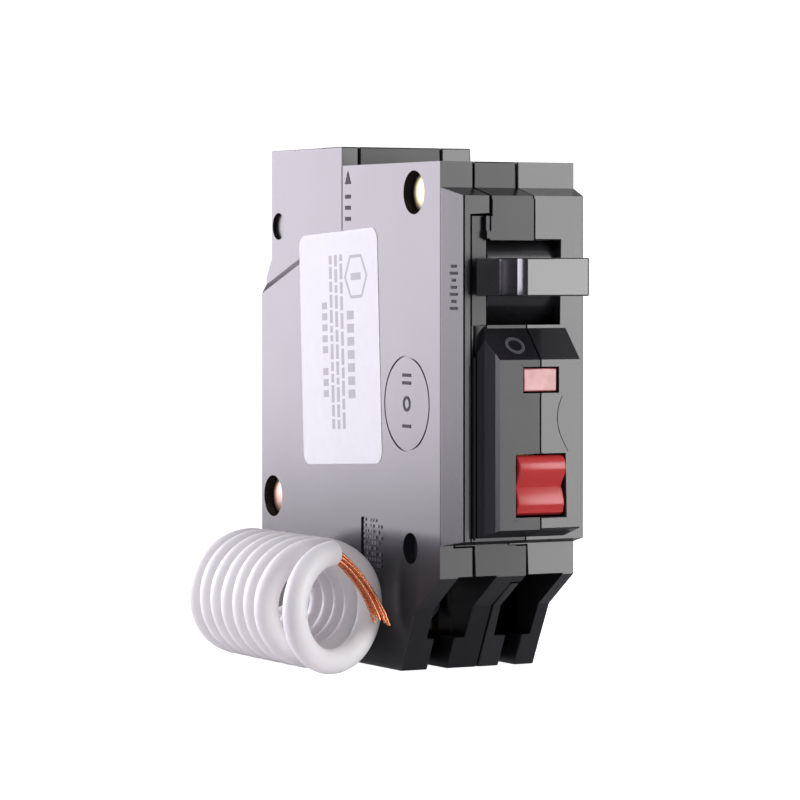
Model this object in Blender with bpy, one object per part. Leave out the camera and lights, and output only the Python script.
"""A one-pole plug-in ground-fault circuit breaker with its coiled neutral pigtail.

Frame: +X across the pole, X = 0 in the middle of its one-inch width; +Y towards the panel, with the
rearmost face at Y = 0 and the handle towards -Y; +Z from the load end to the line end. Sizes below are
millimetres, and heights are counted from the load end's face; FOOT is how far that face lies below the
origin, which is in the middle of the rear face.
"""

import math

import bmesh
import bpy
from mathutils import Matrix, Vector

MM = 0.001
FOOT = 44.0

# Driving dimensions of the case.
SIDE_X = 12.7                      # half of the one-inch pole
LEDGE_Y = -66.7                    # front of the two end ledges
FRONT_Y = -72.4                    # front of the raised escutcheon
BOSS_Y = -77.4                     # front of the test-button boss
LEDGE_TOP_Z = 84.9
TAIL_TOP_Z = 88.2                  # top of the rear, line-side part
TAIL_Y = -31.3                     # where the tall rear part begins
SHOULDER_Y = -2.2                  # how far the line-side part of the rear face steps in
LEDGE_FOOT_Z = 16.3                # where the front face turns back towards the load end
CHIN = (-58.6, 10.7)               # the kink of the load end's slanted face
TOE_Y = -53.2                      # foot of the slanted face

FRONT_BASE_Z = (21.7, 80.6)
FRONT_FACE_Z = (22.7, 79.2)
FRONT_LEAN = {-1: 1.16, 1: 1.5}    # how far each long side leans in
BOSS_FACE_Z = (24.7, 52.4)
BOSS_BASE_Z = (23.2, 57.8)
BOSS_X = (-7.45, 7.6)
BOSS_ROOT_X = -10.4                # how far the boss's left side flares at its root

SEAM_LEFT = -6.3                   # joint between the left cover and the middle case
SEAM_LEFT_FRONT = -10.05           # the same joint beside the handle and the boss
SEAM_RIGHT = 1.75                  # joint between the middle case and the right case
SEAM_BOSS = 0.2                    # the same joint on the boss
SEAM_LEDGE = 3.7                   # the same joint on the load end's ledge
SEAM_TAIL = (-9.3, 6.8)            # both joints on the tall part
SEAM_GAP = 0.3
WALL = 1.8

PLATEAU_X = (-7.2, 9.7)            # the slightly prouder surface round the handle's slot
PLATEAU_Y = -72.7
PLATEAU_Z = (57.0, 78.7)
ARM_RECESS_Y = -71.4               # floor of the recess behind the handle's side arm
ARM_SWEEP_Z = (58.0, 72.2)
SLOT_X = (-6.7, 6.6)
SLOT_Z = (58.0, 71.9)

# Moving parts: joint axes run across the pole at a (Y, Z) pivot.
HANDLE_PIVOT = (-61.4, 65.9)
HANDLE_TIP_Y = -83.1
HANDLE_X = (-6.7, 5.7)
HANDLE_ARM_X = -9.7                # end of the handle's side arm
HANDLE_THICKNESS = 6.2
HUB_RADIUS = 10.4
ARM_PIVOT = (-47.5, 57.0)
ARM_ANGLE = 44.0
ARM_CLOSING = 7.0                  # how far the contact arm turns to close
CONTACT_REACH = 18.0
CRADLE_PIVOT = (-27.0, 61.0)
LATCH_PIVOT = (-17.0, 52.5)
BUTTON_X = (-4.2, 4.6)
BUTTON_Z = (27.0, 36.8)
LENS_X = (-2.9, 3.4)
LENS_Z = (47.2, 51.0)

# The neutral pigtail.
WIRE_RADIUS = 2.05
COIL_RADIUS = 9.0
COIL_CENTRE = (-24.1, 11.15)       # X and Z of the coil's axis
COIL_Y = (-16.8, -42.6)            # first and last close turn
COIL_TURNS = 6
STEPS_A_TURN = 20
RING_Y = -53.1                     # middle of the sprung front turn
RING_TILT = 4.0
RING_SHIFT = 1.4
STRANDS = 6
STRAND_TIP = (-15.6, -54.4, 8.0)
EXIT = (-13.6, 6.4)                # Y and Z where the pigtail leaves the left cover


# ---------------------------------------------------------------- tools

for old in list(bpy.data.objects):
    bpy.data.objects.remove(old, do_unlink=True)

parts = bpy.data.collections.new("gfci_breaker")
cutters = bpy.data.collections.new("cutters")
for group in (parts, cutters):
    bpy.context.scene.collection.children.link(group)


def material(name, colour, roughness, metallic=0.0):
    made = bpy.data.materials.new(name)
    made.use_nodes = True
    shader = made.node_tree.nodes["Principled BSDF"]
    shader.inputs["Base Color"].default_value = (*colour, 1.0)
    shader.inputs["Roughness"].default_value = roughness
    shader.inputs["Metallic"].default_value = metallic
    return made


CASE = material("black_case", (0.035, 0.033, 0.037), 0.38)
HANDLE = material("black_handle", (0.02, 0.02, 0.022), 0.32)
RED = material("red_button", (0.62, 0.05, 0.05), 0.35)
PINK = material("pink_lens", (0.85, 0.5, 0.48), 0.2)
PAPER = material("label_paper", (0.86, 0.86, 0.88), 0.5)
INSULATION = material("white_insulation", (0.83, 0.81, 0.81), 0.35)
COPPER = material("copper", (0.75, 0.33, 0.18), 0.3, 1.0)
BRASS = material("brass", (0.8, 0.62, 0.32), 0.3, 1.0)
STEEL = material("steel", (0.55, 0.55, 0.57), 0.35, 1.0)
SILVER = material("silver_contact", (0.8, 0.8, 0.78), 0.3, 1.0)
BOARD = material("board_laminate", (0.05, 0.22, 0.1), 0.45)
FERRITE = material("ferrite", (0.06, 0.06, 0.07), 0.6)
FIBRE = material("fibre_sheet", (0.3, 0.2, 0.14), 0.7)


def place(name, mesh, finish, group=parts):
    """Lowers a mesh by the foot's depth and wraps it in an object of one collection."""
    mesh.transform(Matrix.Translation((0, 0, -FOOT * MM)))
    made = bpy.data.objects.new(name, mesh)
    if finish:
        mesh.materials.clear()
        mesh.materials.append(finish)
    group.objects.link(made)
    if group is cutters:
        made.hide_render = True
        made.display_type = "WIRE"
    return made


def box(name, x, y, z, finish=None, group=parts):
    """A box from its lowest and highest X, Y and Z."""
    low = Vector((min(x), min(y), min(z))) * MM
    high = Vector((max(x), max(y), max(z))) * MM
    shape = bmesh.new()
    bmesh.ops.create_cube(shape, size=1.0)
    bmesh.ops.scale(shape, vec=high - low, verts=shape.verts)
    bmesh.ops.translate(shape, vec=(low + high) / 2, verts=shape.verts)
    mesh = bpy.data.meshes.new(name)
    shape.to_mesh(mesh)
    shape.free()
    return place(name, mesh, finish, group)


def round_bar(name, radius, start, end, finish=None, group=parts, sides=24, tip_radius=None):
    """A cylinder or a cone between two points."""
    first, last = Vector(start) * MM, Vector(end) * MM
    turn = (last - first).to_track_quat("Z", "Y").to_matrix().to_4x4()
    shape = bmesh.new()
    bmesh.ops.create_cone(
        shape, cap_ends=True, segments=sides, radius1=radius * MM,
        radius2=(radius if tip_radius is None else tip_radius) * MM, depth=(last - first).length)
    bmesh.ops.transform(shape, matrix=Matrix.Translation((first + last) / 2) @ turn, verts=shape.verts)
    mesh = bpy.data.meshes.new(name)
    shape.to_mesh(mesh)
    shape.free()
    mesh.shade_smooth()
    mesh.set_sharp_from_angle(angle=math.radians(40))
    return place(name, mesh, finish, group)


# The plane a flat outline lies in, as the rotation that carries the curve's X, Y and Z there.
ACROSS_X = Matrix(((0, 0, 1), (1, 0, 0), (0, 1, 0))).to_4x4()      # outline in Y, Z
ACROSS_Y = Matrix(((1, 0, 0), (0, 0, -1), (0, 1, 0))).to_4x4()     # outline in X, Z
ACROSS_Z = Matrix.Identity(4)                                      # outline in X, Y


def welded_mesh(curve_object, name):
    """The curve's evaluated shape as a closed mesh; the curve itself is removed."""
    bpy.context.view_layer.update()
    graph = bpy.context.evaluated_depsgraph_get()
    mesh = bpy.data.meshes.new_from_object(curve_object.evaluated_get(graph))
    mesh.name = name
    shape = bmesh.new()
    shape.from_mesh(mesh)
    bmesh.ops.transform(shape, matrix=curve_object.matrix_world, verts=shape.verts)
    bmesh.ops.remove_doubles(shape, verts=shape.verts, dist=1e-6)
    bmesh.ops.recalc_face_normals(shape, faces=shape.faces)
    shape.to_mesh(mesh)
    shape.free()
    bpy.data.objects.remove(curve_object, do_unlink=True)
    return mesh


def sheet(name, outline, plane, span, finish=None, group=parts, holes=()):
    """A flat outline with holes, filled and extruded across a plane between two distances."""
    flat = bpy.data.curves.new(name, "CURVE")
    flat.dimensions = "2D"
    flat.fill_mode = "BOTH"
    flat.extrude = abs(span[1] - span[0]) / 2 * MM
    for ring in (outline, *holes):
        line = flat.splines.new("POLY")
        line.points.add(len(ring) - 1)
        for point, (a, b) in zip(line.points, ring):
            point.co = (a * MM, b * MM, 0.0, 1.0)
        line.use_cyclic_u = True
    made = bpy.data.objects.new(name, flat)
    middle = Vector((0, 0, (span[0] + span[1]) / 2 * MM))
    if plane is ACROSS_Y:
        middle = -middle
    made.matrix_world = plane @ Matrix.Translation(middle)
    group.objects.link(made)
    return place(name, welded_mesh(made, name), finish, group)


def tube(name, path, radius, finish, group=parts, resolution=2):
    """A round wire along a path of points."""
    line = bpy.data.curves.new(name, "CURVE")
    line.dimensions = "3D"
    line.bevel_depth = radius * MM
    line.bevel_resolution = resolution
    line.use_fill_caps = True
    strand = line.splines.new("POLY")
    strand.points.add(len(path) - 1)
    for point, place_mm in zip(strand.points, path):
        point.co = (*(Vector(place_mm) * MM), 1.0)
    made = bpy.data.objects.new(name, line)
    group.objects.link(made)
    mesh = welded_mesh(made, name)
    mesh.shade_smooth()
    mesh.set_sharp_from_angle(angle=math.radians(50))
    return place(name, mesh, finish, group)


def boolean(target, other, operation):
    step = target.modifiers.new(f"{operation.lower()}_{other.name}", "BOOLEAN")
    step.operation = operation
    step.object = other
    step.solver = "EXACT"


def cut(target, *tools):
    for tool in tools:
        boolean(target, tool, "DIFFERENCE")


def join(target, *tools):
    for tool in tools:
        boolean(target, tool, "UNION")


def arc(centre, radius, start, end, count):
    """Points on a circle, from one angle in degrees to another."""
    turns = [math.radians(start + (end - start) * i / (count - 1)) for i in range(count)]
    return [(centre[0] + radius * math.cos(a), centre[1] + radius * math.sin(a)) for a in turns]


def rounded(x, y, radius, count=5):
    """A rectangle with round corners."""
    low, high = (min(x) + radius, min(y) + radius), (max(x) - radius, max(y) - radius)
    corners = ((high[0], high[1], 0), (low[0], high[1], 90), (low[0], low[1], 180), (high[0], low[1], 270))
    return [p for cx, cy, a in corners for p in arc((cx, cy), radius, a, a + 90, count)]


def bezier(a, b, c, d, count):
    """Points along a cubic Bezier curve, without its last point."""
    a, b, c, d = (Vector(p) for p in (a, b, c, d))
    steps = [i / count for i in range(count)]
    return [(1 - t) ** 3 * a + 3 * t * (1 - t) ** 2 * b + 3 * t * t * (1 - t) * c + t ** 3 * d for t in steps]


def turned_to(target, pivot, x=0.0):
    """Moves an object's origin onto its joint's axis, at X and a (Y, Z) pivot, without moving its shape."""
    spot = Vector((x, pivot[0], pivot[1] - FOOT)) * MM
    target.data.transform(Matrix.Translation(-spot))
    target.location = spot
    return target


# ---------------------------------------------------------------- the case

def case_outline():
    """Side view of the case, with the rail hook at the foot of its rear."""
    hook = [(-4.0, 0.0), (-1.6, 2.2), (-1.6, 6.0), (-5.0, 6.0), (-5.0, 10.6), (-1.2, 10.6), (0.0, 11.8)]
    rear = [(0.0, 65.5), (SHOULDER_Y, 69.0), (SHOULDER_Y, TAIL_TOP_Z)]
    top = [(TAIL_Y, TAIL_TOP_Z), (TAIL_Y, LEDGE_TOP_Z), (LEDGE_Y, LEDGE_TOP_Z)]
    front = [(LEDGE_Y, LEDGE_FOOT_Z), CHIN, (TOE_Y, 0.0)]
    return hook + rear + top + front


def raised_front():
    """The raised front, whose two ends lean in."""
    back = LEDGE_Y + 3
    outline = [(back, FRONT_BASE_Z[0]), (LEDGE_Y, FRONT_BASE_Z[0]), (FRONT_Y, FRONT_FACE_Z[0]),
               (FRONT_Y, FRONT_FACE_Z[1]), (LEDGE_Y, FRONT_BASE_Z[1]), (back, FRONT_BASE_Z[1])]
    body = sheet("raised_front", outline, ACROSS_X, (-SIDE_X + 0.05, SIDE_X - 0.05), group=cutters)
    cut(body, side_lean(-1), side_lean(1))
    return body


def side_lean(side):
    """A wedge that shaves one long side of the raised front to its leaning face."""
    edge = side * SIDE_X
    reach = 2.0
    lean = side * FRONT_LEAN[side] * (1 + reach / (LEDGE_Y - FRONT_Y))
    outline = [(edge, LEDGE_Y), (edge - lean, FRONT_Y - reach), (edge + side * 4, FRONT_Y - reach),
               (edge + side * 4, LEDGE_Y)]
    return sheet(f"side_lean_{'left' if side < 0 else 'right'}", outline, ACROSS_Z, (18, 84), group=cutters)


def boss():
    """The test-button boss: sloped ends, a square right side and a left side that flares to its root."""
    outline = [(LEDGE_Y, BOSS_BASE_Z[0]), (FRONT_Y, BOSS_BASE_Z[0]), (BOSS_Y, BOSS_FACE_Z[0]),
               (BOSS_Y, BOSS_FACE_Z[1]), (FRONT_Y, BOSS_BASE_Z[1]), (LEDGE_Y, BOSS_BASE_Z[1])]
    body = sheet("boss_form", outline, ACROSS_X, (BOSS_ROOT_X, BOSS_X[1]), group=cutters)
    left = BOSS_X[0]
    flare = [(BOSS_ROOT_X - 3, LEDGE_Y + 1), (BOSS_ROOT_X, LEDGE_Y + 1), (BOSS_ROOT_X, FRONT_Y),
             (left - 1.2, FRONT_Y - 1.9), (left - 0.3, BOSS_Y + 1.0), (left, BOSS_Y), (left, BOSS_Y - 2),
             (BOSS_ROOT_X - 3, BOSS_Y - 2)]
    cut(body, sheet("boss_flare", flare, ACROSS_Z, (18, 64), group=cutters))
    hip = [(BOSS_ROOT_X - 1, 51.0), (BOSS_ROOT_X, 51.0), (left, 58.5), (left, 62), (BOSS_ROOT_X - 1, 62)]
    cut(body, sheet("boss_hip", hip, ACROSS_Y, (BOSS_Y - 2, FRONT_Y), group=cutters))
    return body


def plateau():
    """The slightly prouder surface round the slot, with a jog in each long side."""
    left, right = PLATEAU_X
    low, high = PLATEAU_Z
    outline = [(left, low), (BOSS_X[1], low), (BOSS_X[1], 59.0), (right, 59.0), (right, high),
               (left + 0.8, high), (left + 0.8, 73.4), (left, 73.4)]
    return sheet("plateau", outline, ACROSS_Y, (PLATEAU_Y, LEDGE_Y), group=cutters)


HALF_GAP = SEAM_GAP / 2
STEP_Y = -60.6                     # how deep the front joints' steps reach
BESIDE_Z = (21.4, 76.0)            # the stretch beside the handle and the boss
BOSS_JOINT_Z = (21.4, 58.2)
TAIL_JOINT_Z = 82.4
LEDGE_JOINT_Z = 14.9               # lower end of the ledge's stepped joint


def zone(name, block):
    return box(name, *block, group=cutters)


def left_zone():
    """The space the left cover fills."""
    made = zone("left_zone", ((-20, SEAM_LEFT - HALF_GAP), (-90, 10), (-10, 100)))
    cut(made,
        zone("left_zone_front", ((SEAM_LEFT_FRONT - HALF_GAP, 0), (-95, STEP_Y),
                                 (BESIDE_Z[0] - HALF_GAP, BESIDE_Z[1] + HALF_GAP))),
        zone("left_zone_tail", ((SEAM_TAIL[0] - HALF_GAP, 0), (TAIL_Y - 1, 15), (TAIL_JOINT_Z - HALF_GAP,
                                                                                 110))))
    return made


def right_zone():
    """The space the right case fills."""
    made = zone("right_zone", ((SEAM_RIGHT + HALF_GAP, 20), (-90, 10), (-10, 100)))
    cut(made,
        zone("right_zone_ledge", ((0, SEAM_LEDGE + HALF_GAP), (-95, STEP_Y),
                                  (LEDGE_JOINT_Z, BOSS_JOINT_Z[0] + HALF_GAP))),
        zone("right_zone_tail", ((0, SEAM_TAIL[1] + HALF_GAP), (TAIL_Y - 1, 15), (TAIL_JOINT_Z - HALF_GAP,
                                                                                  110))))
    join(made, zone("right_zone_boss", ((SEAM_BOSS + HALF_GAP, 19), (-89, STEP_Y - SEAM_GAP),
                                        (BOSS_JOINT_Z[0] + HALF_GAP, BOSS_JOINT_Z[1]))))
    return made


def middle_zone():
    """The space the middle case fills."""
    made = zone("middle_zone", ((SEAM_LEFT + HALF_GAP, SEAM_RIGHT - HALF_GAP), (-90, 10), (-10, 100)))
    join(made,
         zone("middle_zone_beside", ((SEAM_LEFT_FRONT + HALF_GAP, 0), (-89, STEP_Y - SEAM_GAP),
                                     (BESIDE_Z[0] + HALF_GAP, BESIDE_Z[1] - HALF_GAP))),
         zone("middle_zone_ledge", ((0, SEAM_LEDGE - HALF_GAP), (-88, STEP_Y - SEAM_GAP),
                                    (LEDGE_JOINT_Z + SEAM_GAP, BOSS_JOINT_Z[0] - HALF_GAP))),
         zone("middle_zone_tail", ((SEAM_TAIL[0] + HALF_GAP, SEAM_TAIL[1] - HALF_GAP), (TAIL_Y - 0.7, 14),
                                   (TAIL_JOINT_Z + HALF_GAP, 105))))
    cut(made,
        zone("middle_zone_boss", ((SEAM_BOSS - HALF_GAP, 8), (-95, STEP_Y),
                                  (BOSS_JOINT_Z[0] + 0.01, BOSS_JOINT_Z[1] + SEAM_GAP))))
    return made


ELECTRONICS_X = (-10.6, -2.2)
MECHANISM_X = (-0.6, 11.0)
ROOM_Z = (21.2, 81.0)


def inner_outline():
    """Side view of the hollow behind the front."""
    front = FRONT_Y + WALL
    ledge = LEDGE_Y + WALL
    return [(-8.0, ROOM_Z[0]), (-8.0, 64.0), (-11.0, 66.0), (-11.0, ROOM_Z[1]), (-52.5, ROOM_Z[1]),
            (-52.5, 75.2),
            (front, 75.2), (front, 25.0), (ledge, 24.0), (ledge, ROOM_Z[0])]


def hollows():
    """The two compartments, the boss's inside, the room round the hub, and the windows between them."""
    y, z = HANDLE_PIVOT
    half = HUB_RADIUS + 0.7
    return [
        sheet("electronics_room", inner_outline(), ACROSS_X, ELECTRONICS_X, group=cutters),
        sheet("mechanism_room", inner_outline(), ACROSS_X, MECHANISM_X, group=cutters),
        box("boss_room", (-5.6, 5.9), (BOSS_Y + 1.6, -60), (26.0, 51.6), group=cutters),
        round_bar("hub_room", half, (SLOT_X[0], y, z), (SLOT_X[1], y, z), group=cutters, sides=40),
        box("handle_slot", SLOT_X, (-90, -66), SLOT_Z, group=cutters),
        box("button_window", (BUTTON_X[0] - 0.3, BUTTON_X[1] + 0.3), (-90, -70),
            (BUTTON_Z[0] - 0.3, BUTTON_Z[1] + 0.3), group=cutters),
        box("lens_window", (LENS_X[0] - 0.25, LENS_X[1] + 0.25), (-90, -70),
            (LENS_Z[0] - 0.25, LENS_Z[1] + 0.25), group=cutters),
        box("trip_window", (-4.0, 2.0), (-26.0, -14.0), (31.5, 38.5), group=cutters),
        round_bar("sensor_window", 4.2, (-4.0, *SENSOR), (2.0, *SENSOR), group=cutters, sides=24),
    ]


SENSOR = (-52.0, 35.0)             # Y and Z of the current sensor's axis
SCREW_Z = 10.9
# X centre of each terminal's wide mouth, its half width, and the same for the narrow slot below it.
MOUTHS = {
    "neutral": (-5.7, 3.65, -5.95, 1.85),
    "load": (7.05, 3.55, 7.4, 1.55),
}


def terminal_pockets():
    """At each load terminal: a wide mouth for the screw, a narrow slot for the wire and the lug's room."""
    made = []
    for name, (x, half, slot_x, slot_half) in MOUTHS.items():
        made += [
            box(f"{name}_mouth", (x - half, x + half), (-90, -44), (5.4, LEDGE_FOOT_Z + 0.2), group=cutters),
            box(f"{name}_slot", (slot_x - slot_half, slot_x + slot_half), (-90, -40), (-3, 6), group=cutters),
            box(f"{name}_room", (x - half - 0.2, x + half + 0.2), (-51.0, -36.0), (3.4, 22.0), group=cutters),
            round_bar(f"{name}_tip_room", 2.4, (x, -38, SCREW_Z), (x, -32, SCREW_Z), group=cutters, sides=20),
        ]
    return made


def jaw_slot():
    """The slot in the line end where the panel's bus stab enters."""
    return box("jaw_slot", (3.4, 7.8), (-22.0, 5.0), (71.6, 95.0), group=cutters)


RIVETS = {"line_front": (-57.6, 79.9), "load_rear": (-4.6, 26.7)}
RIVET_SEAT = 3.66
RIVET_SHANK = 1.5
RIVET_DEPTH = 2.0
PLAIN_HOLES = {"load_front": ((-56.4, 20.7), 2.6), "line_rear": ((-4.9, 74.7), 2.4)}


def rivet_tools():
    """Stepped holes for the two rivets, through all three case pieces."""
    made = []
    for name, (y, z) in RIVETS.items():
        made.append(round_bar(f"{name}_way", RIVET_SHANK + 0.15, (-20, y, z), (20, y, z), group=cutters,
                              sides=20))
        for side in (-1, 1):
            floor = side * (SIDE_X - RIVET_DEPTH)
            made.append(round_bar(f"{name}_seat_{'left' if side < 0 else 'right'}", RIVET_SEAT, (floor, y, z),
                                  (side * 17, y, z), group=cutters, sides=32))
    return made


def plain_holes():
    """The two empty holes in the left cover."""
    return [round_bar(f"{name}_hole", radius, (-20, y, z), (-SIDE_X + 1.6, y, z), group=cutters, sides=28)
            for name, ((y, z), radius) in PLAIN_HOLES.items()]


def case_piece(name, space, extra=()):
    """One of the three case pieces: the common outer form inside its zone, hollowed and pierced."""
    made = sheet(name, case_outline(), ACROSS_X, (-SIDE_X, SIDE_X), CASE)
    join(made, *forms)
    boolean(made, space, "INTERSECT")
    cut(made, *rooms, *extra)
    return made


def left_details():
    """What only the left cover has: empty holes, a thinned line end, a groove and a way out for the wire."""
    y, z = EXIT
    thinned = [(1, 65.0), (-23.8, 73.6), (-23.8, 95), (1, 95)]
    return [
        *plain_holes(),
        sheet("thinned_tail", thinned, ACROSS_X, (-SIDE_X - 5, -SIDE_X + 0.9), group=cutters),
        box("plate_groove", (-SIDE_X - 5, -SIDE_X + 0.3), (TAIL_Y - 0.35, TAIL_Y), (70.5, 95), group=cutters),
        round_bar("pigtail_way", WIRE_RADIUS + 0.25, (-20, y, z), (-7.2, y, z), group=cutters, sides=20),
        box("pigtail_room", (-11.1, -6.6), (y - 2.3, y + 2.3), (z - 2.4, 23.0), group=cutters),
    ]


forms = [raised_front(), boss(), plateau()]
rooms = hollows() + terminal_pockets() + [jaw_slot()] + rivet_tools()
arm_recess = box("arm_recess", (-14, PLATEAU_X[0]), (-90, ARM_RECESS_Y), (57.9, BESIDE_Z[1]), group=cutters)
arm_sweep = box("arm_sweep", (-14, SLOT_X[0] + 0.1), (-90, ARM_RECESS_Y), ARM_SWEEP_Z, group=cutters)

left_cover = case_piece("left_cover", left_zone(), left_details())
middle_case = case_piece("middle_case", middle_zone(), [arm_recess, arm_sweep])
right_case = case_piece("right_case", right_zone())


def rivets():
    """Two rivets hold the three case pieces together: a head at the left and a rolled foot at the right."""
    for name, (y, z) in RIVETS.items():
        floor = SIDE_X - RIVET_DEPTH + 0.1
        made = round_bar(f"rivet_{name}", RIVET_SHANK, (-floor, y, z), (floor, y, z), BRASS, sides=20)
        join(made,
             round_bar(f"{name}_head", 3.1, (-floor + 0.05, y, z), (-floor - 0.8, y, z), group=cutters,
                       sides=28, tip_radius=2.3),
             round_bar(f"{name}_foot", 2.8, (floor - 0.05, y, z), (floor + 0.8, y, z), group=cutters,
                       sides=28, tip_radius=2.2))


rivets()


# ---------------------------------------------------------------- handle and contact mechanism

def handle():
    """The toggle handle: a hub on a pin, a bar through the slot and a side arm with a finger scoop."""
    y, z = HANDLE_PIVOT
    half = HANDLE_THICKNESS / 2
    sector = [*arc((y, z), HUB_RADIUS, 180 + 50, 180 - 50, 17), *arc((y, z), 4.4, 80, -80, 9)]
    hub = sheet("toggle_handle", sector, ACROSS_X, (SLOT_X[0] + 0.4, SLOT_X[1] - 0.4), HANDLE)
    left, right = HANDLE_X
    root = y - HUB_RADIUS + 1.2
    scoop = bezier((left + 0.1, HANDLE_TIP_Y + 0.9), (left + 0.7, HANDLE_TIP_Y + 4),
                   (left + 0.3, FRONT_Y - 4),
                   (left - 1.0, FRONT_Y - 2.3), 6)
    bar = [(right, root), (right, HANDLE_TIP_Y + 0.5), (right - 0.5, HANDLE_TIP_Y),
           (left + 0.9, HANDLE_TIP_Y),
           *[tuple(p) for p in scoop], (left - 1.0, FRONT_Y - 2.3), (HANDLE_ARM_X, FRONT_Y - 2.0),
           (HANDLE_ARM_X, FRONT_Y - 1.0), (left + 0.5, FRONT_Y - 1.0), (left + 0.5, root)]
    join(hub, sheet("handle_bar", bar, ACROSS_Z, (z - half, z + half), group=cutters))
    cut(hub, round_bar("handle_bore", 1.26, (-9, y, z), (9, y, z), group=cutters, sides=20),
        box("handle_spring_notch", (1.4, 4.4), (y - 1, y + 6), (z - 5, z + 5), group=cutters))
    return turned_to(hub, HANDLE_PIVOT)


def along(pivot, angle, reach, lift=0.0):
    """The (Y, Z) point at a reach from a pivot in a direction, lifted square to that direction."""
    a = math.radians(angle)
    return (pivot[0] + reach * math.cos(a) - lift * math.sin(a),
            pivot[1] + reach * math.sin(a) + lift * math.cos(a))


ARM_X = (7.3, 9.1)
CONTACT_X = 8.2
ARM_EDGE = ((0, -1.6), (18, -1.0), (20.3, -0.8), (20.3, 1.0), (15, 1.0), (10, 1.6), (0, 1.6))


def contact_arm():
    """The moving contact's arm: a flat bar from the eye on its pin up to the contact."""
    outline = [along(ARM_PIVOT, ARM_ANGLE, r, h) for r, h in ARM_EDGE]
    arm = sheet("contact_arm", outline, ACROSS_X, ARM_X, COPPER)
    y, z = ARM_PIVOT
    join(arm, round_bar("arm_eye", 2.7, (ARM_X[0] - 0.4, y, z), (ARM_X[1] + 0.4, y, z), group=cutters,
                        sides=20))
    cut(arm, round_bar("arm_bore", 1.06, (5, y, z), (12, y, z), group=cutters, sides=20))
    turned_to(arm, ARM_PIVOT, CONTACT_X)
    face = [(CONTACT_X, *along(ARM_PIVOT, ARM_ANGLE, CONTACT_REACH, lift)) for lift in (1.03, 2.1)]
    turned_to(round_bar("moving_contact", 1.7, *face, SILVER, sides=20), ARM_PIVOT, CONTACT_X)


def fixed_contact():
    """The fixed contact, square to the arm where the arm comes to rest closed."""
    angle = ARM_ANGLE + ARM_CLOSING
    face = [(CONTACT_X, *along(ARM_PIVOT, angle, CONTACT_REACH, lift)) for lift in (2.2, 3.3)]
    round_bar("fixed_contact", 1.7, *face, SILVER, sides=20)


STAB_X = 5.6                       # middle of the bus stab across the pole
JAW_GAP = 2.1                      # room for a 2 mm bus stab


def line_jaw():
    """The spring jaw that grips the bus stab, with the strap that carries the fixed contact."""
    half, middle = JAW_GAP / 2, STAB_X
    leaf = [(half + 1.05, -19.4), (half + 0.65, -14.0), (half + 0.6, -9.0), (half + 0.85, -6.6),
            (half + 0.4, -6.2), (half, -8.5), (half, -13.0), (half + 0.3, -19.4)]
    grip = [(middle - half - 1.05, -20.6), *[(middle - x, y) for x, y in leaf],
            *[(middle + x, y) for x, y in reversed(leaf)], (9.3, -19.4), (9.3, -20.6)]
    jaw = sheet("line_jaw", grip, ACROSS_Z, (72.2, 80.3), COPPER)
    angle = ARM_ANGLE + ARM_CLOSING
    seat = [along(ARM_PIVOT, angle, CONTACT_REACH + r, h) for r, h in ((-2.4, 3.32), (2.4, 3.32),
                                                                       (1.6, 4.5), (-2.4, 4.5))]
    strap = [seat[0], seat[1], (-32.0, 77.6), (-19.9, 77.6), (-19.9, 78.8), (-32.4, 78.8), seat[2], seat[3]]
    join(jaw, sheet("line_strap", strap, ACROSS_X, (7.0, 9.25), group=cutters))
    return jaw


def cradle():
    """The trip lever: one end latches on the armature, the other end holds the toggle spring."""
    y, z = CRADLE_PIVOT
    outline = [(y - 8.5, z + 2.6), (y - 8.5, z + 0.4), (y - 2.4, z - 2.2), (y + 3.0, z - 3.4),
               (y + 7.2, z - 7.2),
               (y + 8.6, z - 6.2), (y + 5.0, z - 0.6), (y + 1.5, z + 2.4)]
    lever = sheet("cradle", outline, ACROSS_X, (3.2, 4.6), STEEL)
    cut(lever, round_bar("cradle_bore", 1.06, (0, y, z), (8, y, z), group=cutters, sides=20))
    turned_to(lever, CRADLE_PIVOT, 3.9)
    round_bar("cradle_pin", 1.0, (-0.3, y, z), (6.4, y, z), STEEL, sides=20)


def armature():
    """The latch plate that the magnet or the solenoid swings to release the trip lever."""
    y, z = LATCH_PIVOT
    outline = [(y - 0.6, z - 16.4), (y + 0.6, z - 16.4), (y + 0.6, z - 1.9), *arc((y, z), 2.0, -65, 245, 12),
               (y - 0.6, z - 1.9)]
    plate = sheet("armature", outline, ACROSS_X, (2.6, 8.6), STEEL)
    cut(plate, round_bar("armature_bore", 0.96, (0, y, z), (12, y, z), group=cutters, sides=16))
    turned_to(plate, LATCH_PIVOT, 5.6)
    round_bar("armature_pin", 0.9, (-0.3, y, z), (10.7, y, z), STEEL, sides=16)


def trip_parts():
    """The bimetal strip, the magnet yoke round it, its calibration screw and the braid to the contact arm."""
    sheet("bimetal", [(-11.6, 31.5), (-10.9, 31.5), (-11.2, 55.0), (-11.9, 55.0)], ACROSS_X, (4.0, 7.4),
          BRASS)
    yoke = [(3.2, -13.2), (3.2, -9.0), (8.2, -9.0), (8.2, -13.2), (7.7, -13.2), (7.7, -9.7), (3.7, -9.7),
            (3.7, -13.2)]
    sheet("magnet_yoke", yoke, ACROSS_Z, (37.0, 46.0), STEEL)
    round_bar("calibration_screw", 1.3, (5.7, -10.3, 28.0), (5.7, -10.3, 31.2), BRASS, sides=16)
    path = bezier((5.7, -13.1, 54.0), (5.7, -15.5, 62.0), (10.1, -30.0, 47.0), (10.1, -43.4, 55.6), 14)
    tube("flexible_braid", [*[tuple(p) for p in path], (10.1, -43.4, 55.6)], 0.8, COPPER)


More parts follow.
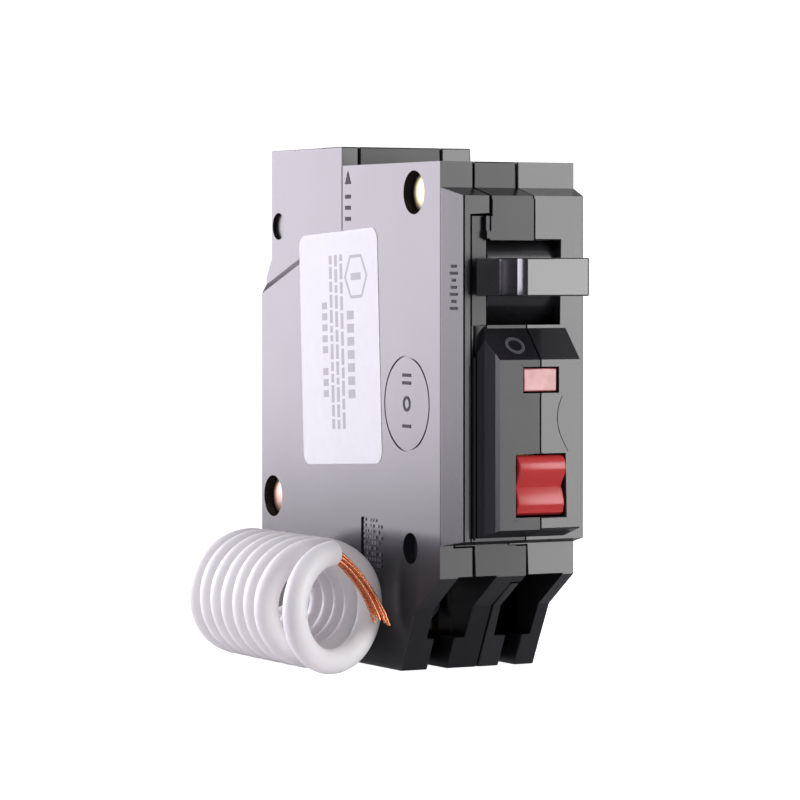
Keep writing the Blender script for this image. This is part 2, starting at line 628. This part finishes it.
def toggle_spring():
    """The coiled spring between the trip lever and the contact arm's foot."""
    start, end = Vector((6.0, -35.4, 62.0)), Vector((6.0, -44.0, 58.6))
    axis = (end - start).normalized()
    across = Vector((1.0, 0.0, 0.0))
    up = axis.cross(across)
    steps_a_turn, turns, radius = 10, 6, 0.75
    count = turns * steps_a_turn
    path = []
    for i in range(count + 1):
        a = 2 * math.pi * i / steps_a_turn
        side = (across * math.cos(a) + up * math.sin(a)) * radius
        path.append(tuple(start + (end - start) * i / count + side))
    tube("toggle_spring", path, 0.25, STEEL, resolution=1)


def arc_chute():
    """Three steel plates in a fibre holder, beyond the end of the contact arm's sweep."""
    for i in range(3):
        low = 65.6 + 2.4 * i
        box(f"arc_plate_{i + 1}", (6.0, 10.6), (-28.0, -24.4), (low, low + 0.8), STEEL)
    box("arc_chute_holder", (6.0, 10.6), (-24.1, -23.2), (64.4, 72.0), FIBRE)


handle()
round_bar("handle_pin", 1.2, (-8.0, *HANDLE_PIVOT), (10.6, *HANDLE_PIVOT), STEEL, sides=20)
contact_arm()
round_bar("contact_arm_pin", 1.0, (5.6, *ARM_PIVOT), (10.7, *ARM_PIVOT), STEEL, sides=20)
fixed_contact()
line_jaw()
cradle()
armature()
trip_parts()
toggle_spring()
arc_chute()


# ---------------------------------------------------------------- ground-fault electronics

BOARD_X = (-10.3, -9.1)
BOARD_TOP = BOARD_X[1] + 0.06


def electronics():
    """The circuit board and what stands on it."""
    box("circuit_board", BOARD_X, (-56.0, -11.5), (42.0, 70.0), BOARD)
    box("controller_chip", (BOARD_TOP, BOARD_TOP + 1.6), (-30.0, -22.0), (62.0, 67.0), HANDLE)
    round_bar("surge_suppressor", 3.6, (BOARD_TOP, -44.5, 49.5), (BOARD_TOP + 3.0, -44.5, 49.5), PAPER,
              sides=24)
    round_bar("filter_capacitor", 2.5, (-6.2, -36.0, 46.0), (-6.2, -36.0, 57.0), HANDLE, sides=24)
    round_bar("status_lamp", 1.4, (0.25, BOSS_Y + 5.6, 49.1), (0.25, BOSS_Y + 2.2, 49.1), PINK, sides=16)


def sensor():
    """The ring-shaped current sensor that both load conductors pass through."""
    y, z = SENSOR
    ring = sheet("current_sensor", arc((y, z), 7.6, 0, 345, 24), ACROSS_X, (-8.6, -4.2), FERRITE,
                 holes=[arc((y, z), 3.6, 0, 345, 24)])
    low, high = z + 0.7, z + 1.5
    strap = [(-8.6, 19.6), (-8.6, 20.4), (-3.5, 20.4), (-3.5, low), (-10.3, low), (-10.3, high), (-2.7, high),
             (-2.7, 19.6)]
    sheet("neutral_strap", strap, ACROSS_Y, (y + 1.1, y + 2.9), COPPER)
    lead = [(7.05, -40.4, 19.6), (7.05, -41.0, 23.0), (6.2, -45.0, 27.5), (4.0, -49.5, 31.6),
            (1.6, y, z - 1.5),
            (-8.2, y, z - 1.5), (-9.3, y - 0.5, z - 0.9), (-9.6, y - 2.2, z + 1.6), (-9.6, y - 2.2, z + 6.4)]
    tube("load_lead", lead, 0.85, HANDLE)
    return ring


def solenoid():
    """The trip solenoid: a coil in a frame, and the plunger whose finger reaches the armature."""
    x, z = -5.9, 35.0
    round_bar("solenoid_coil", 3.2, (x, -41.2, z), (x, -28.2, z), COPPER, sides=24)
    bore = round_bar("solenoid_bore", 1.5, (x, -50, z), (x, -20, z), group=cutters, sides=20)
    cut(bpy.data.objects["solenoid_coil"], bore)
    frame = [(-42.4, 30.4), (-26.9, 30.4), (-26.9, 39.0), (-27.9, 39.0), (-27.9, 31.4), (-41.5, 31.4),
             (-41.5, 39.0),
             (-42.4, 39.0)]
    body = sheet("solenoid_frame", frame, ACROSS_X, (x - 2.6, x + 2.6), STEEL)
    cut(body, bore)
    plunger = round_bar("solenoid_plunger", 1.4, (x, -38.0, z), (x, -20.6, z), STEEL, sides=20)
    join(plunger, box("plunger_finger", (x - 0.5, 5.0), (-21.2, -20.0), (z - 1.3, z + 1.3), group=cutters))


electronics()
sensor()
solenoid()


# ---------------------------------------------------------------- terminals

SCREW_RADIUS = 1.95
LUG_Y = -38.6                      # face the clamped wire lies on


def terminal(name):
    """A lug fixed in the case, a clamp plate that slides towards it and the screw that drives the clamp."""
    x = MOUTHS[name][0]
    bent = [(-36.8, 5.0), (-36.8, 19.3), (-50.7, 19.3), (-50.7, 18.1), (LUG_Y, 18.1), (LUG_Y, 5.0)]
    lug = sheet(f"{name}_lug", bent, ACROSS_X, (x - 3.3, x + 3.3), BRASS)
    cut(lug, round_bar(f"{name}_thread", SCREW_RADIUS + 0.15, (x, -50, SCREW_Z), (x, -30, SCREW_Z),
                       group=cutters, sides=20))
    clamp = box(f"{name}_clamp", (x - 3.2, x + 3.2), (-45.0, -43.8), (5.9, 15.8), STEEL)
    cut(clamp, round_bar(f"{name}_clamp_hole", SCREW_RADIUS + 0.15, (x, -50, SCREW_Z), (x, -30, SCREW_Z),
                         group=cutters, sides=20))
    screw = round_bar(f"{name}_screw", SCREW_RADIUS, (x, -45.4, SCREW_Z), (x, -36.6, SCREW_Z), STEEL,
                      sides=20)
    join(screw, round_bar(f"{name}_screw_head", 3.2, (x, -48.1, SCREW_Z), (x, -45.2, SCREW_Z),
                          group=cutters, sides=24))
    cut(screw, box(f"{name}_drive", (x - 2.7, x + 2.7), (-50, -46.9), (SCREW_Z - 0.45, SCREW_Z + 0.45),
                   group=cutters))
    return turned_to(screw, (-45.2, SCREW_Z), x)


terminal("neutral")
terminal("load")


# ---------------------------------------------------------------- test button, lens and label

def test_button():
    """The test button: two rounded ridges with a valley between them, and a flange behind the window."""
    low, high = BUTTON_Z
    front = [(BOSS_Y + 0.7, low), (BOSS_Y + 0.1, low + 0.7), (BOSS_Y + 0.25, low + 2.2),
             (BOSS_Y + 0.75, low + 4.4),
             (BOSS_Y - 0.1, low + 5.6), (BOSS_Y - 0.75, low + 7.3), (BOSS_Y - 0.75, low + 8.3),
             (BOSS_Y - 0.2, low + 9.3), (BOSS_Y + 0.6, high)]
    back = BOSS_Y + 3.2
    button = sheet("test_button", [(back, high), (back, low), *front], ACROSS_X, BUTTON_X, RED)
    join(button, box("button_flange", (BUTTON_X[0] - 0.8, BUTTON_X[1] + 0.8), (BOSS_Y + 1.9, BOSS_Y + 3.6),
                     (low - 0.6, high + 0.8), group=cutters))
    return button


def test_contact():
    """The springy strip behind the button that closes the test circuit."""
    y = BOSS_Y + 5.5
    path = [(y, 27.4), (y + 0.4, 27.4), (y + 0.4, 37.6), (y + 1.4, 39.4), (y + 1.4, 41.0), (y + 1.0, 41.0),
            (y + 1.0, 39.6), (y, 37.8)]
    return sheet("test_contact", path, ACROSS_X, (-1.6, 2.0), BRASS)


def indicator_lens():
    """The lens in its window, with a flange behind the wall."""
    return box("indicator_lens", LENS_X, (BOSS_Y + 0.3, BOSS_Y + 1.95), LENS_Z, PINK)


LABEL_TILT = -2.8


def rating_label():
    """The white label on the left cover, put on slightly askew."""
    outline = rounded((-14.75, 14.75), (-20.0, 20.0), 2.2)
    label = sheet("rating_label", outline, ACROSS_X, (-0.1, 0.0), PAPER)
    turn = Matrix.Translation(Vector((-SIDE_X - 0.02, -30.7, 53.6 - FOOT)) * MM)
    turn = turn @ Matrix.Rotation(math.radians(LABEL_TILT), 4, "X") @ Matrix.Translation((0, 0, FOOT * MM))
    label.data.transform(turn)
    return label


test_button()
test_contact()
indicator_lens()
rating_label()


# ---------------------------------------------------------------- the neutral pigtail

def coil_path():
    """From inside the case out through the left cover, round the close turns and the sprung front one."""
    x, z = COIL_CENTRE
    y, exit_z = EXIT
    inside = [(-8.8, y, 22.5), (-8.8, y, 12.0), (-9.1, y, 8.6), (-10.4, y, exit_z)]
    out = bezier((-12.0, y, exit_z), (-18.0, y, exit_z - 0.2), (x + 6.0, COIL_Y[0] + 0.9, z - COIL_RADIUS),
                 (x, COIL_Y[0], z - COIL_RADIUS), 6)
    close = (COIL_TURNS + 0.5) * STEPS_A_TURN
    slope = (COIL_Y[1] - COIL_Y[0]) / (COIL_TURNS * STEPS_A_TURN)
    turns = []
    for i in range(int(close) + STEPS_A_TURN + 1):
        a = 2 * math.pi * i / STEPS_A_TURN
        free = min(max((i - close) / (STEPS_A_TURN / 4), 0.0), 1.0)
        spring = free * free * (3 - 2 * free)
        depth = (1 - spring) * (COIL_Y[0] + slope * i) + spring * (RING_Y - RING_TILT * math.sin(a))
        turns.append((x - COIL_RADIUS * math.sin(a) - RING_SHIFT * spring, depth,
                      z - COIL_RADIUS * math.cos(a)))
    return [*inside, *[tuple(p) for p in out], *turns]


def pigtail():
    """The white insulated wire and, in a short bore at its free end, the bare strands."""
    path = coil_path()
    wire = tube("pigtail_insulation", path, WIRE_RADIUS, INSULATION)
    end = Vector(path[-1])
    ahead = (end - Vector(path[-2])).normalized()
    cut(wire, round_bar("strand_bore", 1.45, end - ahead * 1.6, end + ahead * 2, group=cutters, sides=16))
    core = round_bar("pigtail_conductor", 1.1, end - ahead * 1.3, end + ahead * 0.9, COPPER, sides=16)
    root = end + ahead * 0.2
    for i in range(STRANDS):
        turn = 2 * math.pi * i / STRANDS
        side = Vector((0.0, math.cos(turn), math.sin(turn))) * 0.72
        tip = Vector(STRAND_TIP) + side * 1.7 + Vector((0.5 * math.sin(2 * turn), 0.0,
                                                        0.8 * math.cos(3 * turn)))
        strand = bezier(root + side, root + side + ahead * 4.5, tip + Vector((-1.6, -0.6, 5.5)), tip, 7)
        join(core, tube(f"strand_{i + 1}", [*[tuple(p) for p in strand], tuple(tip)], 0.36, None,
                        group=cutters))
    return core


pigtail()
